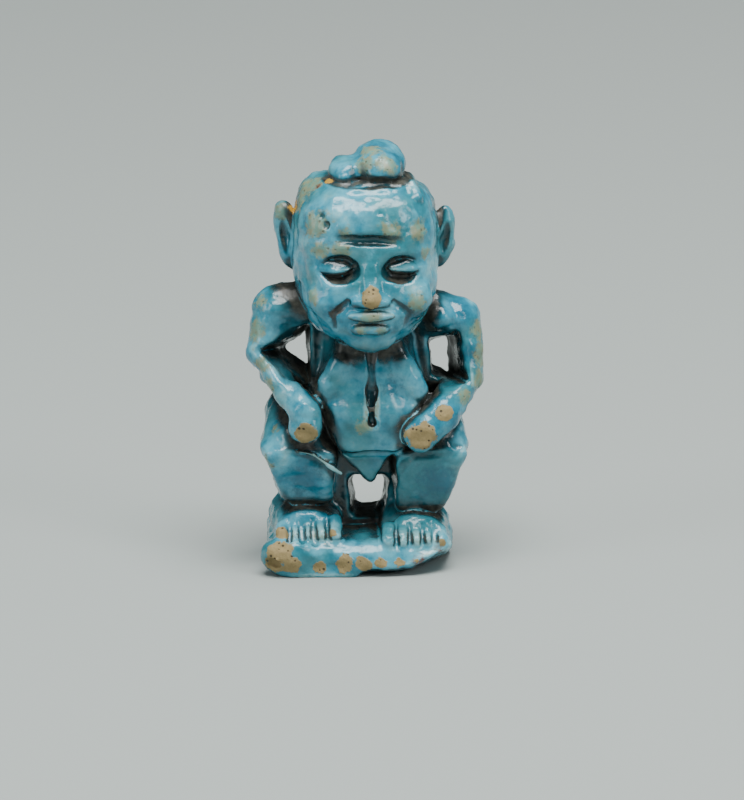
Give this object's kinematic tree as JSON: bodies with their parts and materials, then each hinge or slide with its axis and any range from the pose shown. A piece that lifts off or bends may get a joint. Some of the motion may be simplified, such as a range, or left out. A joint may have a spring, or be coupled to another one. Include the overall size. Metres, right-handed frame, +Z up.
{
  "type": "pataikos amulet",
  "caption": "Small glazed faience amulet of a squat dwarf god who stands on a plinth, fists on his belly and a beetle on his head.",
  "frame": {"origin": "on the underside of the plinth, at the middle of the object's bounding box", "axes": "+Z up the figure, -Y the way the face looks, +X to the right as the front is seen"},
  "size_m": [0.0194, 0.0144, 0.035],
  "materials": {
    "faience": "glossy turquoise-blue alkaline glaze on quartz paste, worn to a tan body on the high places and dark with dirt in the hollows"
  },
  "bodies": {
    "root": {"pataikos": "faience"}
  },
  "joints": []
}
